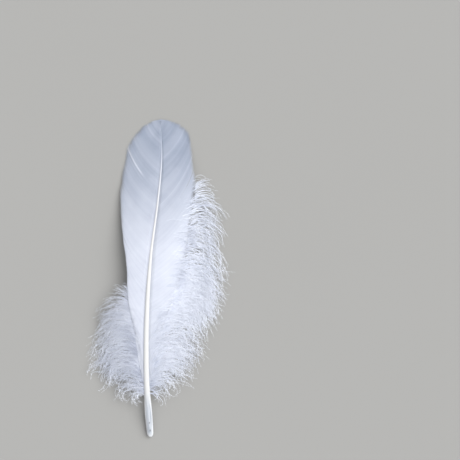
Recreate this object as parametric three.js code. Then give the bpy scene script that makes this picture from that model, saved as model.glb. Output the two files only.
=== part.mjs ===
import * as THREE from 'three';

// A goose quill feather that lies on a table: rounded back up, tip towards +Y, +Z up.
// Millimetres. Every piece is drawn from the quill end, which is at x = 0, y = 0, and
// the whole feather is then moved so that the middle of its footprint is the origin.

// Driving dimensions
const FEATHER_LENGTH = 180;
const SHAFT_TIP = 177.5; // where the shaft runs out, just short of the vane tip
const ARCH_RISE = 10; // how far the middle of the shaft stands above a line between its ends
const TIP_HEIGHT = 0.35; // height of the shaft line at the vane tip
const PIECE_GAP = 0.32; // clearance between pieces that touch
const DOWN_START = 24; // where the bare quill ends and the down begins
const VANE_START = 41; // where the first barb that holds to its neighbours leaves the shaft
const VANE_ROOT_THICKNESS = 0.9;
const VANE_EDGE_THICKNESS = 0.4;
const VANE_CAMBER = 0.012; // fall of the vane per square millimetre away from the shaft
const VANE_SOFTNESS = 0.5; // how gently the vane settles on to the table
const BARB_BOW = 0.07; // how far a barb bows out, as a share of its length
const DOWN_RIM_HEIGHT = 1;
const DOWN_OUTER_HEIGHT = 3.4;
const GROOVE_DEPTH = 0.22; // of the groove under the shaft, as a share of its depth

// Mesh fineness
const SHAFT_SIDES = 16;
const SHAFT_STATIONS = 44;
const VANE_ROWS = 34;
const VANE_COLUMNS = 6;
const DOWN_ROWS = 32;
const DOWN_COLUMNS = 6;

// A smooth value along the feather, from [distance, value] pairs.
function along(pairs) {
  const places = pairs.map(([place]) => place);
  const values = pairs.map(([, value]) => value);
  const smooth = new THREE.CubicInterpolant(places, values, 1, new Float64Array(1));
  const last = places[places.length - 1];
  return (place) => smooth.evaluate(THREE.MathUtils.clamp(place, places[0], last))[0];
}

// A smooth line on the table through a few [x, y] points.
function line(points) {
  return new THREE.SplineCurve(points.map(([x, y]) => new THREE.Vector2(x, y)));
}

const shaftX = along([[0, 0], [24, -1.5], [66, -1.6], [104, 0.85], [134, 4.6], [158, 6.5], [180, 5.7]]);
const shaftWidth = along([
  [0, 3.5], [6, 3.9], [15, 4.1], [25, 3.4], [38, 3.1], [66, 2.7], [91, 2.1], [108, 1.45],
  [146, 1.1], [168, 0.6], [180, 0.35],
]);
const leftEdge = line([
  [-8.5, 61.9], [-12.4, 78], [-13.1, 97], [-15.6, 115], [-17.1, 134], [-16.1, 148],
  [-13.3, 164], [-9.4, 171.3], [-4, 176.3], [1.4, 179.2], [5.5, 180],
]);
const rightEdge = line([
  [6.6, 66.4], [10.8, 82], [15.2, 95], [21, 122], [25.2, 143], [24.2, 155],
  [23.2, 166], [21.6, 173], [16.7, 177.2], [11, 179.4], [6.4, 180],
]);
const leftDownRim = line([
  [-2.6, 23.4], [-12, 24.5], [-22, 26.5], [-30, 32], [-33.5, 43], [-32, 56], [-26, 67], [-14.2, 80],
]);
const rightDownRim = line([
  [2.2, 23.4], [12, 24.5], [22, 27], [31, 33], [37.5, 45], [41, 62], [42, 82], [40.5, 100],
  [37, 117], [32, 132], [26.2, 147],
]);

// The calamus is nearly round, and the shaft above it is a little deeper than it is wide.
const shaftDepth = (y) => shaftWidth(y) * (y < VANE_START ? 0.97 : 1.05);

function archHeight(y) {
  const share = y / FEATHER_LENGTH;
  return 4 * ARCH_RISE * share * (1 - share);
}

// The quill end rests on the table, so its lowest point sets the height of the shaft line.
function quillHeight() {
  let height = 0;
  for (let y = 0; y < DOWN_START; y += 0.5) {
    height = Math.max(height, (shaftDepth(y) * endRounding(y)) / 2 - archHeight(y));
  }
  return height;
}

// The quill closes in a blunt round end.
function endRounding(y) {
  const QUILL_ROUND = 2.2;
  const inside = Math.max(0, 1 - y / QUILL_ROUND);
  return Math.sqrt(Math.max(0, 1 - inside ** 2.4));
}

const QUILL_HEIGHT = quillHeight();

function shaftHeight(y) {
  return THREE.MathUtils.lerp(QUILL_HEIGHT, TIP_HEIGHT, y / FEATHER_LENGTH) + archHeight(y);
}

// The larger of two values, with a soft turn between them.
function softMax(a, b, softness) {
  return (a + b + Math.sqrt((a - b) ** 2 + softness ** 2)) / 2;
}

// Height of the middle of the vane's sheet: highest at the shaft, falling to both edges,
// and lying on the table where it reaches it.
function vaneHeight(x, y, thickness) {
  const root = shaftHeight(y) + 0.2 * shaftDepth(y);
  const fall = VANE_CAMBER * (x - shaftX(y)) ** 2;
  return softMax(root - fall, thickness / 2, VANE_SOFTNESS);
}

// One closed geometry from its points and triangles.
function closedGeometry(points, triangles) {
  const geometry = new THREE.BufferGeometry();
  geometry.setAttribute('position', new THREE.Float32BufferAttribute(points.flat(), 3));
  geometry.setIndex(triangles.flat());
  geometry.computeVertexNormals();
  return geometry;
}

// A body skinned over rings of points, closed at both ends by a fan.
// Rings run towards +Y, and each goes from +X over +Z.
function loftedBody(rings) {
  const sides = rings[0].length;
  const points = rings.flat();
  const triangles = [];
  for (let ring = 0; ring < rings.length - 1; ring += 1) {
    for (let side = 0; side < sides; side += 1) {
      const a = ring * sides + side;
      const b = ring * sides + ((side + 1) % sides);
      triangles.push([a, b + sides, b], [a, a + sides, b + sides]);
    }
  }
  const capEnd = (ring, flip) => {
    const middle = points.length;
    const start = ring * sides;
    const sum = rings[ring].reduce((total, p) => total.map((value, i) => value + p[i]), [0, 0, 0]);
    points.push(sum.map((value) => value / sides));
    for (let side = 0; side < sides; side += 1) {
      const a = start + side;
      const b = start + ((side + 1) % sides);
      triangles.push(flip ? [a, b, middle] : [b, a, middle]);
    }
  };
  capEnd(0, true);
  capEnd(rings.length - 1, false);
  return closedGeometry(points, triangles);
}

// A body between an upper and a lower sheet of points, both rows × columns, walled all round.
// mirrored turns the faces over for a sheet whose columns run towards -X.
function sheetBody(upper, lower, mirrored) {
  const rows = upper.length;
  const columns = upper[0].length;
  const points = [...upper.flat(), ...lower.flat()];
  const base = rows * columns;
  const triangles = [];
  const face = (a, b, c) => triangles.push(mirrored ? [a, c, b] : [a, b, c]);
  const at = (row, column) => row * columns + column;
  for (let row = 0; row < rows - 1; row += 1) {
    for (let column = 0; column < columns - 1; column += 1) {
      const [a, b] = [at(row, column), at(row, column + 1)];
      const [c, d] = [at(row + 1, column + 1), at(row + 1, column)];
      face(a, b, c);
      face(a, c, d);
      face(base + a, base + c, base + b);
      face(base + a, base + d, base + c);
    }
  }
  const wall = (a, b) => {
    face(a, base + a, base + b);
    face(a, base + b, b);
  };
  for (let column = 0; column < columns - 1; column += 1) {
    wall(at(0, column), at(0, column + 1));
    wall(at(rows - 1, column + 1), at(rows - 1, column));
  }
  for (let row = 0; row < rows - 1; row += 1) {
    wall(at(row, columns - 1), at(row + 1, columns - 1));
    wall(at(row + 1, 0), at(row, 0));
  }
  return closedGeometry(points, triangles);
}

// One ring of the shaft: a soft square with a groove along its underside.
function shaftRing(y, scale, groove) {
  const SQUARENESS = 0.86;
  const GROOVE_WIDTH = 0.2;
  const width = shaftWidth(y) * scale;
  const depth = shaftDepth(y) * scale;
  const ring = [];
  for (let side = 0; side < SHAFT_SIDES; side += 1) {
    const turn = (2 * Math.PI * side) / SHAFT_SIDES;
    const across = Math.sign(Math.cos(turn)) * Math.abs(Math.cos(turn)) ** SQUARENESS;
    const up = Math.sign(Math.sin(turn)) * Math.abs(Math.sin(turn)) ** SQUARENESS;
    const x = (across * width) / 2;
    const hollow = up < 0 ? groove * depth * Math.exp(-((x / (GROOVE_WIDTH * width)) ** 2)) : 0;
    ring.push([shaftX(y) + x, y, shaftHeight(y) + (up * depth) / 2 + hollow]);
  }
  return ring;
}

// Quill and shaft in one: a dimple in the blunt end, a bare round quill, a grooved shaft.
function shaftGeometry() {
  const DIMPLE_DEPTH = 0.8;
  const DIMPLE_FLOOR = 0.16;
  const DIMPLE_MOUTH = 0.3;
  const RIM = 0.5;
  const GROOVE_RUN = 14;
  const rings = [
    [DIMPLE_DEPTH, DIMPLE_FLOOR],
    [0.12, DIMPLE_MOUTH],
    [0, RIM],
  ].map(([y, scale]) => shaftRing(0, scale, 0).map(([x, , z]) => [x, y, z]));
  for (let station = 1; station <= SHAFT_STATIONS; station += 1) {
    const y = SHAFT_TIP * (station / SHAFT_STATIONS) ** 1.35;
    const groove = GROOVE_DEPTH * THREE.MathUtils.smoothstep(y, DOWN_START, DOWN_START + GROOVE_RUN);
    rings.push(shaftRing(y, endRounding(y), groove));
  }
  return loftedBody(rings);
}

// Where a barb leaves the shaft, for a share of the way from the first barb to the last.
function barbRoot(share, sideways) {
  const CROWDING = 1.35; // barbs stand closer together towards the tip
  const y = THREE.MathUtils.lerp(VANE_START, FEATHER_LENGTH - 1.6, 1 - (1 - share) ** CROWDING);
  const clearance = y < SHAFT_TIP ? shaftWidth(y) / 2 + PIECE_GAP : PIECE_GAP / 2;
  return new THREE.Vector2(shaftX(y) + sideways * clearance, y);
}

// The bowed line of one barb on the table, from the shaft to the edge of the vane.
function barbLine(share, edge, sideways) {
  const root = barbRoot(share, sideways);
  const end = edge.getPoint(share);
  const run = new THREE.Vector2().subVectors(end, root);
  const bow = BARB_BOW * THREE.MathUtils.smoothstep(share, -0.08, 0.2);
  const out = new THREE.Vector2(run.y, -run.x).multiplyScalar(sideways * bow * 2);
  const middle = new THREE.Vector2().addVectors(root, end).multiplyScalar(0.5).add(out);
  return new THREE.QuadraticBezierCurve(root, middle, end);
}

// One vane: a thin cambered sheet whose rows follow its barbs.
function vaneGeometry(edge, sideways) {
  const upper = [];
  const lower = [];
  for (let row = 0; row <= VANE_ROWS; row += 1) {
    const barb = barbLine(row / VANE_ROWS, edge, sideways);
    const above = [];
    const below = [];
    for (let column = 0; column <= VANE_COLUMNS; column += 1) {
      const share = column / VANE_COLUMNS;
      const { x, y } = barb.getPoint(share);
      const shaftEnd = THREE.MathUtils.clamp((FEATHER_LENGTH - y) / FEATHER_LENGTH, 0, 1) ** 0.3;
      const root = THREE.MathUtils.lerp(VANE_EDGE_THICKNESS, VANE_ROOT_THICKNESS, shaftEnd);
      const thickness = THREE.MathUtils.lerp(root, VANE_EDGE_THICKNESS, share);
      const height = vaneHeight(x, y, thickness);
      above.push([x, y, height + thickness / 2]);
      below.push([x, y, height - thickness / 2]);
    }
    upper.push(above);
    lower.push(below);
  }
  return sheetBody(upper, lower, sideways < 0);
}

// The inner limit of the down: up the bare shaft, out along the first barb of the vane,
// and on along the vane's edge, always clear of them by the gap.
function downInnerLimit(edge, sideways, edgeShare) {
  const SHAFT_STEPS = 4;
  const BARB_STEPS = 5;
  const EDGE_STEPS = 9;
  const points = [];
  const lift = DOWN_START + 2;
  for (let step = 0; step < SHAFT_STEPS; step += 1) {
    const y = THREE.MathUtils.lerp(lift, VANE_START - 1.2, step / (SHAFT_STEPS - 1));
    points.push(new THREE.Vector2(shaftX(y) + sideways * (shaftWidth(y) / 2 + PIECE_GAP), y));
  }
  const clearOf = (curve, share) => {
    const tangent = curve.getTangent(share);
    const away = new THREE.Vector2(tangent.y, -tangent.x).multiplyScalar(sideways * PIECE_GAP * 1.4);
    return curve.getPoint(share).add(away);
  };
  const firstBarb = barbLine(0, edge, sideways);
  for (let step = 1; step <= BARB_STEPS; step += 1) {
    points.push(clearOf(firstBarb, step / (BARB_STEPS + 0.5)));
  }
  for (let step = 0; step <= EDGE_STEPS; step += 1) {
    points.push(clearOf(edge, (edgeShare * (step + 0.35)) / (EDGE_STEPS + 0.35)));
  }
  return new THREE.SplineCurve(points);
}

// The down on one side: a low soft mass that reaches the tips of its barbs and lies on the table.
function downGeometry(edge, rim, sideways, edgeShare) {
  const RIM_ROUNDING = 5;
  const inner = downInnerLimit(edge, sideways, edgeShare);
  const upper = [];
  const lower = [];
  for (let row = 0; row <= DOWN_ROWS; row += 1) {
    const start = inner.getPoint(row / DOWN_ROWS);
    const end = rim.getPoint(row / DOWN_ROWS);
    const rootHeight = Math.max(vaneHeight(start.x, start.y, 0), DOWN_RIM_HEIGHT);
    const outerHeight = Math.min(DOWN_OUTER_HEIGHT, rootHeight);
    const above = [];
    const below = [];
    for (let column = 0; column <= DOWN_COLUMNS; column += 1) {
      const share = column / DOWN_COLUMNS;
      const place = new THREE.Vector2().lerpVectors(start, end, share);
      const fall = 1 - (1 - share) ** 1.7;
      const slope = THREE.MathUtils.lerp(rootHeight, outerHeight, fall);
      const rounding = Math.sqrt(1 - share ** RIM_ROUNDING);
      const height = DOWN_RIM_HEIGHT + (slope - DOWN_RIM_HEIGHT) * rounding;
      above.push([place.x, place.y, height]);
      below.push([place.x, place.y, 0]);
    }
    upper.push(above);
    lower.push(below);
  }
  return sheetBody(upper, lower, sideways < 0);
}

const shaftMaterial = new THREE.MeshStandardMaterial({ color: 0xf1f0ea, roughness: 0.35, metalness: 0 });
const leftVaneMaterial = new THREE.MeshStandardMaterial({ color: 0xdde1ec, roughness: 0.6, metalness: 0 });
const rightVaneMaterial = new THREE.MeshStandardMaterial({ color: 0xe1e5ef, roughness: 0.6, metalness: 0 });
const leftDownMaterial = new THREE.MeshStandardMaterial({ color: 0xe6e9f2, roughness: 0.9, metalness: 0 });
const rightDownMaterial = new THREE.MeshStandardMaterial({ color: 0xe9ecf4, roughness: 0.9, metalness: 0 });

function piece(name, geometry, material) {
  const mesh = new THREE.Mesh(geometry, material);
  mesh.name = name;
  return mesh;
}

const LEFT = -1;
const RIGHT = 1;
const LEFT_DOWN_REACH = 0.12; // share of the left vane's edge that the down covers
const RIGHT_DOWN_REACH = 0.4;

const feather = new THREE.Group();
feather.add(piece('shaft', shaftGeometry(), shaftMaterial));
feather.add(piece('left_vane', vaneGeometry(leftEdge, LEFT), leftVaneMaterial));
feather.add(piece('right_vane', vaneGeometry(rightEdge, RIGHT), rightVaneMaterial));
feather.add(piece('left_down', downGeometry(leftEdge, leftDownRim, LEFT, LEFT_DOWN_REACH), leftDownMaterial));
feather.add(
  piece('right_down', downGeometry(rightEdge, rightDownRim, RIGHT, RIGHT_DOWN_REACH), rightDownMaterial),
);

const footprint = new THREE.Box3().setFromObject(feather).getCenter(new THREE.Vector3());
feather.position.set(-footprint.x, -footprint.y, 0);

export default feather;
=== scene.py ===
"""A white goose quill feather that lies on a table, with its rounded back up.

Sizes are in millimetres from the quill end: x to the side of the wide vane, y along the
feather to the vane tip and z up from the table. Meshes are made in metres, in the frame.
The vanes are sheets of barbs that hook together. The down is loose barbs with free barbules.
"""

import logging
import math
from dataclasses import dataclass, field, fields
from enum import Enum
from functools import cached_property
from typing import Callable, Sequence

import bpy
import numpy as np
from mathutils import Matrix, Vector


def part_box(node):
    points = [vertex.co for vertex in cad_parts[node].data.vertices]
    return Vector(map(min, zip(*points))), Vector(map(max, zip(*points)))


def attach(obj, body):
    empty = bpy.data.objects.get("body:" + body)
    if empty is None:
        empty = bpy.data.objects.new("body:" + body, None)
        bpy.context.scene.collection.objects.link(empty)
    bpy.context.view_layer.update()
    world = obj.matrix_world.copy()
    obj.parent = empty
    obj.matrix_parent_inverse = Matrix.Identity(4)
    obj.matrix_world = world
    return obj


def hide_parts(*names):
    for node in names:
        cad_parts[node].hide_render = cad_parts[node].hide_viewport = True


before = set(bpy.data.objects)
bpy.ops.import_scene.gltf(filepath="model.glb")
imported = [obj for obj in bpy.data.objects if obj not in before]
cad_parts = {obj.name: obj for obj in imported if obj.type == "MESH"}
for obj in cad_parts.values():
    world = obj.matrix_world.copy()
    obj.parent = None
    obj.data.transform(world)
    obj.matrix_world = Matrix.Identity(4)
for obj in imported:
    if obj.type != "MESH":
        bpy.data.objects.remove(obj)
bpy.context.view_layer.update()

Array = np.ndarray
Span = tuple[float, float]
Triple = tuple[float, float, float]
Pairs = Sequence[Span]
Socket = bpy.types.NodeSocket

MM = 0.001
FULL_TURN = 2 * math.pi
SPECK = 1e-6
LEAST_LENGTH = 1e-9
BODY = "root"
MAP_NAME = "OFBake"
TONE = "tone"
DEPTH = "depth"
KERATIN_IOR = 1.54

log = logging.getLogger("feather")


class Side(Enum):
    """The side of the shaft, seen from above with the tip away."""

    LEFT = -1
    RIGHT = 1


class Node(Enum):
    """The CAD solid that a piece stands in for."""

    SHAFT = "shaft"
    LEFT_VANE = "left_vane"
    RIGHT_VANE = "right_vane"
    LEFT_DOWN = "left_down"
    RIGHT_DOWN = "right_down"


class Slot(Enum):
    """The finish that a piece wears."""

    SHAFT = "shaft_keratin"
    VANE = "vane_barbs"
    DOWN = "down"


class Operation(Enum):
    """A way to join two values of a material."""

    ADD = "ADD"
    MULTIPLY = "MULTIPLY"


# ---------------------------------------------------------------- curves and noise


def hermite(knots: Array, values: Array, slopes: Array, places: Array) -> Array:
    """Cubic through values at knots.

    Args:
        knots: Rising places of the known values.
        values: The values there, one row a knot.
        slopes: The slopes there.
        places: Where values are wanted.

    Returns:
        The values at places.
    """
    at = np.clip(np.searchsorted(knots, places, side="right") - 1, 0, len(knots) - 2)
    step = knots[at + 1] - knots[at]
    t = np.clip((places - knots[at]) / step, 0.0, 1.0)
    if values.ndim > 1:
        t, step = t[..., None], step[..., None]
    return (
        values[at] * (1 + 2 * t) * (1 - t) ** 2
        + slopes[at] * step * t * (1 - t) ** 2
        + values[at + 1] * t * t * (3 - 2 * t)
        - slopes[at + 1] * step * t * t * (1 - t)
    )


def along(pairs: Pairs) -> Callable[[Array], Array]:
    """Smooth value along the feather.

    Args:
        pairs: (place, value) pairs in rising order.

    Returns:
        A function from places to values.
    """
    knots, values = np.array(pairs, float).T
    slopes = np.gradient(values, knots)
    return lambda places: hermite(knots, values, slopes, np.asarray(places, float))


def outline(points: Pairs) -> Callable[[Array], Array]:
    """Smooth line through points in the plane.

    Args:
        points: (x, y) points in order.

    Returns:
        A function from shares of the line, 0 to 1, to (..., 2) places.
    """
    values = np.array(points, float)
    knots = np.linspace(0.0, 1.0, len(points))
    slopes = np.gradient(values, knots, axis=0)
    return lambda shares: hermite(knots, values, slopes, np.asarray(shares, float))


def smoothstep(values: Array, low: float, high: float) -> Array:
    """Soft step from 0 at low to 1 at high."""
    t = np.clip((values - low) / (high - low), 0.0, 1.0)
    return t * t * (3 - 2 * t)


def soft_max(a: Array, b: float, softness: float) -> Array:
    """The larger of a and b, with a soft turn between them."""
    return (a + b + np.sqrt((a - b) ** 2 + softness**2)) / 2


def unit(vectors: Array) -> Array:
    """Vectors scaled to length one."""
    return vectors / np.maximum(np.linalg.norm(vectors, axis=-1, keepdims=True), LEAST_LENGTH)


def drift(rng: np.random.Generator, count: int, pace: int, spread: float) -> Array:
    """Random values that change smoothly from one to the next.

    Args:
        rng: The source of random numbers.
        count: How many values.
        pace: How many values lie between independent ones.
        spread: Their standard deviation.

    Returns:
        count values.
    """
    fewest = 4
    knots = max(count // pace, fewest)
    places = np.linspace(0.0, 1.0, knots)
    values = rng.normal(0.0, spread, knots)
    return hermite(places, values, np.gradient(values, places), np.linspace(0, 1, count))


@dataclass(frozen=True)
class Change:
    """How a measure changes from barb to barb.

    Attributes:
        pace: How many barbs lie between independent values of the slow change.
        slow: The standard deviation of the slow change.
        quick: The standard deviation from each barb to the next.
    """

    pace: int
    slow: float
    quick: float

    def draw(self, rng: np.random.Generator, count: int) -> Array:
        """Random changes of count barbs."""
        return drift(rng, count, self.pace, self.slow) + rng.normal(0, self.quick, count)


# ---------------------------------------------------------------- mesh making


@dataclass
class Draft:
    """The points and triangles gathered for one piece."""

    name: str
    smooth: bool = True
    points: list[Array] = field(default_factory=list)
    triangles: list[Array] = field(default_factory=list)
    places: list[Array] = field(default_factory=list)
    tones: list[Array] = field(default_factory=list)
    depths: list[Array] = field(default_factory=list)
    count: int = 0

    def add(self, points: Array, triangles: Array, places: Array, tones: Array, depths: Array) -> None:
        """Adds closed shapes.

        Args:
            points: (n, 3) in millimetres from the quill end.
            triangles: (m, 3) indices into points.
            places: (n, 2) places on the piece's map.
            tones: n shares that lighten or darken the finish.
            depths: n shares of the way from a barb's root to its tip.
        """
        self.points.append(points)
        self.triangles.append(triangles + self.count)
        self.places.append(places)
        self.tones.append(tones)
        self.depths.append(depths)
        self.count += len(points)

    def build(self, origin: Array) -> bpy.types.Object:
        """Makes the mesh object.

        Args:
            origin: Where the quill end is in the frame, in metres.

        Returns:
            The new object, linked to the scene.
        """
        points = np.concatenate(self.points) * MM + origin
        corners = np.concatenate(self.triangles).astype(np.int32)
        mesh = bpy.data.meshes.new(self.name)
        mesh.vertices.add(len(points))
        mesh.vertices.foreach_set("co", points.astype(np.float32).ravel())
        mesh.loops.add(corners.size)
        mesh.loops.foreach_set("vertex_index", corners.ravel())
        mesh.polygons.add(len(corners))
        mesh.polygons.foreach_set("loop_start", np.arange(0, corners.size, 3, dtype=np.int32))
        mesh.update(calc_edges=True)
        mesh.polygons.foreach_set("use_smooth", np.full(len(corners), self.smooth))
        flat = mesh.uv_layers.new(name=MAP_NAME)
        flat.uv.foreach_set("vector", self.map_corners(corners).astype(np.float32).ravel())
        for name, values in ((TONE, self.tones), (DEPTH, self.depths)):
            layer = mesh.attributes.new(name, "FLOAT", "POINT")
            layer.data.foreach_set("value", np.concatenate(values).astype(np.float32))
        mesh.validate()
        piece = bpy.data.objects.new(self.name, mesh)
        bpy.context.scene.collection.objects.link(piece)
        return piece

    def map_corners(self, corners: Array) -> Array:
        """Each triangle's corners on the map, moved on where a triangle crosses its seam.

        Args:
            corners: (n, 3) indices of points.

        Returns:
            (n, 3, 2) places.
        """
        half_map = 0.5
        places = np.concatenate(self.places)[corners]
        crosses = np.ptp(places[..., 0], axis=1, keepdims=True) > half_map
        places[..., 0] += crosses & (places[..., 0] < half_map)
        return places


def ring_frames(lines: Array) -> tuple[Array, Array, Array]:
    """Directions round each point of many lines.

    Args:
        lines: (count, steps, 3) points.

    Returns:
        The tangents, and two directions square to them and each other.
    """
    tangents = unit(np.gradient(lines, axis=1))
    upright = np.array([0.0, 0.0, 1.0])
    first = unit(np.cross(upright, tangents) + np.array([SPECK, 0.0, 0.0]))
    return tangents, first, np.cross(tangents, first)


def tube_triangles(count: int, rings: int, sides: int) -> Array:
    """Triangles of closed tubes.

    Args:
        count: How many tubes.
        rings: Rings of points in each.
        sides: Points in each ring.

    Returns:
        (n, 3) indices, for points in tube, ring and side order.
    """
    side = np.arange(sides)
    after = (side + 1) % sides
    a = np.arange(rings - 1)[:, None] * sides + side
    b = np.arange(rings - 1)[:, None] * sides + after
    walls = np.concatenate([np.stack([a, b, b + sides], -1), np.stack([a, b + sides, a + sides], -1)])
    fan = np.arange(1, sides - 1)
    start = np.stack([np.zeros_like(fan), fan + 1, fan], -1)
    end = np.stack([np.zeros_like(fan), fan, fan + 1], -1) + (rings - 1) * sides
    one = np.concatenate([walls.reshape(-1, 3), start, end])
    return (one + (np.arange(count) * rings * sides)[:, None, None]).reshape(-1, 3)


# ---------------------------------------------------------------- the feather's line


@dataclass(frozen=True)
class FeatherLine:
    """The course of the shaft and the sheet of the vane, which every piece follows.

    Attributes:
        quill_round: How much of the quill its blunt round end takes up.
        quill_bluntness: The power of that end's curve, 2 for a circle.
        quill_depth: The round quill's depth, for a width of one.
        depth_gain: How much deeper the shaft is than the quill, for a width of one.
        deepens: The stretch over which it gets deeper.
        straight: The stretch of quill that its streaks are laid along.
        camber: How quickly the sheet falls away from the shaft.
        root_rise: How far above the middle of the shaft the sheet starts, for a depth of one.
        sheet_rest: Height of the sheet where it lies on the table.
        course: (y, x) of the shaft.
        widths: (y, width) of the shaft.
        samples: How many places are tried for a highest or a widest one.
    """

    length: float = 180.0
    shaft_tip: float = 177.5
    down_start: float = 24.0
    vane_start: float = 41.0
    arch_rise: float = 10.0
    tip_height: float = 0.35
    quill_round: float = 2.9
    quill_bluntness: float = 2.1
    quill_depth: float = 0.97
    depth_gain: float = 0.08
    deepens: Span = (35.0, 45.0)
    straight: Span = (2.0, 20.0)
    camber: float = 0.012
    root_rise: float = 0.2
    sheet_rest: float = 0.3
    sheet_softness: float = 0.6
    course: Pairs = ((0, 0), (24, -1.5), (66, -1.6), (104, 0.85), (134, 4.6), (158, 6.5), (180, 5.7))
    widths: Pairs = (
        (0, 3.5), (6, 3.9), (15, 4.1), (25, 3.4), (38, 3.1), (66, 2.7), (91, 2.1), (108, 1.45),
        (146, 1.0), (158, 0.7), (168, 0.45), (180, 0.35),
    )
    samples: int = 200

    def x(self, y: Array) -> Array:
        """Sideways place of the shaft."""
        return along(self.course)(y)

    def width(self, y: Array) -> Array:
        """Width of the shaft."""
        return along(self.widths)(y)

    def depth(self, y: Array) -> Array:
        """Depth of the shaft: a round quill, then a shaft a little deeper than wide."""
        return self.width(y) * (self.quill_depth + self.depth_gain * smoothstep(y, *self.deepens))

    def arch(self, y: Array) -> Array:
        """How far the feather's curve lifts it above its two ends."""
        share = np.asarray(y) / self.length
        return 4 * self.arch_rise * share * (1 - share)

    def blunt(self, y: Array) -> Array:
        """How far the blunt round end of the quill draws the section in."""
        inside = np.clip(1 - np.asarray(y) / self.quill_round, 0.0, 1.0)
        return np.sqrt(np.clip(1 - inside**self.quill_bluntness, 0.0, 1.0))

    @cached_property
    def quill_height(self) -> float:
        """Height of the middle of the quill's end, at which the quill rests on the table."""
        y = np.linspace(0, self.down_start, self.samples)
        return float(np.max(self.depth(y) * self.blunt(y) / 2 - self.arch(y)))

    def height(self, y: Array) -> Array:
        """Height of the middle of the shaft above the table."""
        share = np.asarray(y) / self.length
        return self.quill_height + (self.tip_height - self.quill_height) * share + self.arch(y)

    def quill_lie(self) -> Triple:
        """The turn about each axis that lays the bare quill along y.

        Returns:
            Three angles in radians.
        """
        ends = np.array(self.straight)
        run = float(ends[1] - ends[0])
        rise = float(np.diff(self.height(ends))[0])
        aside = float(np.diff(self.x(ends))[0])
        return (-math.atan2(rise, run), 0.0, math.atan2(aside, math.hypot(run, rise)))

    def vane_height(self, x: Array, y: Array) -> Array:
        """Height of the sheet of the vane: highest at the shaft, settling on the table."""
        root = self.height(y) + self.root_rise * self.depth(y)
        return soft_max(root - self.camber * (x - self.x(y)) ** 2, self.sheet_rest, self.sheet_softness)

    def origin(self) -> Array:
        """Where the quill end is in the frame, found from the box of the CAD shaft.

        Returns:
            The place in metres.
        """
        low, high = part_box(Node.SHAFT.value)
        y = np.linspace(0, self.shaft_tip, 2 * self.samples)
        right = float(np.max(self.x(y) + self.width(y) / 2))
        return np.array([high[0] - right * MM, low[1], 0.0])


# ---------------------------------------------------------------- the shaft


@dataclass
class Shaft:
    """The bare quill and the shaft above it, grown as one piece.

    Attributes:
        crowding: How much closer the rings are at the quill end.
        end_span: The stretch that the rings round the quill end cover.
        squareness: How much squarer the shaft's section is than the quill's.
        back_flatness: How far the sides of the shaft's back fall, for a depth of two.
        groove_depth: Depth of the groove below, for a depth of one.
        groove_width: Width of the groove, for a width of one.
        flute_depth: Height of the quill's faint ridges, for a radius of one.
        flute_twist: Turn of those ridges in a millimetre, in radians.
        mouth: Width of the dimple in the quill end, for a width of one.
        dimple: (share of its depth, share of its width) from its bottom to its rim.
    """

    line: FeatherLine
    sides: int = 40
    stations: int = 220
    crowding: float = 1.5
    end_rings: int = 8
    end_span: Span = (0.01, 0.9)
    squareness: float = 0.2
    back_flatness: float = 0.1
    back_power: int = 3
    groove_depth: float = 0.26
    groove_width: float = 0.2
    flutes: int = 7
    flute_depth: float = 0.012
    flute_twist: float = 0.05
    mouth: float = 0.26
    dimple_depth: float = 0.9
    dimple: Pairs = ((1.0, 0.1), (0.98, 0.4), (0.7, 0.62), (0.3, 0.72), (0.06, 0.86))

    def section(self, y: Array, scale: Array) -> Array:
        """Rings round the shaft.

        Args:
            y: Places along the feather.
            scale: How much each ring is drawn in.

        Returns:
            (len(y), sides, 3) points.
        """
        turn = np.linspace(0, FULL_TURN, self.sides, endpoint=False)
        above = smoothstep(y, self.line.down_start, self.line.vane_start)[:, None]
        power = 1.0 - self.squareness * above
        across = np.sign(np.cos(turn)) * np.abs(np.cos(turn)) ** power
        up = np.sign(np.sin(turn)) * np.abs(np.sin(turn)) ** power
        width = (self.line.width(y) * scale)[:, None]
        depth = (self.line.depth(y) * scale)[:, None]
        wave = np.sin(self.flutes * turn + self.flute_twist * y[:, None])
        flute = 1 + self.flute_depth * (1 - above) * wave
        groove = np.where(up < 0, np.exp(-((across / 2 / self.groove_width) ** 2)), 0.0)
        groove = groove * above * self.groove_depth * depth
        fall = self.back_flatness * above * np.abs(across) ** self.back_power * depth / 2
        x = self.line.x(y)[:, None] + across * flute * width / 2
        z = self.line.height(y)[:, None] + up * flute * depth / 2 + groove - np.where(up > 0, fall, 0.0)
        return np.stack([x, np.broadcast_to(y[:, None], x.shape), z], -1)

    def build(self) -> Draft:
        """Makes the quill and shaft with the dimple in its blunt end.

        Returns:
            The draft of the piece.
        """
        y = self.line.shaft_tip * np.linspace(0, 1, self.stations) ** self.crowding
        y[1 : 1 + self.end_rings] = np.geomspace(*self.end_span, self.end_rings)
        y = np.sort(y)
        scale = self.mouth + (1 - self.mouth) * self.line.blunt(y)
        depths, widths = np.array(self.dimple).T
        dimple = self.section(np.zeros(len(depths)), self.mouth * widths)
        dimple[..., 1] = (self.dimple_depth * depths)[:, None]
        rings = np.concatenate([dimple, self.section(y, scale)])
        count = len(rings)
        side = np.broadcast_to(np.arange(self.sides) / self.sides, (count, self.sides))
        rise = np.broadcast_to(np.linspace(0, 1, count)[:, None], side.shape)
        draft = Draft("quill_shaft")
        draft.add(
            rings.reshape(-1, 3),
            tube_triangles(1, count, self.sides)[:, ::-1],
            np.stack([side, rise], -1).reshape(-1, 2),
            # This tone marks the tube's top and bottom, where the quill's finish paints shade for its
            # see-through middle.
            np.abs(np.sin(FULL_TURN * side)).ravel(),
            rise.ravel(),
        )
        return draft


# ---------------------------------------------------------------- the vanes


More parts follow.
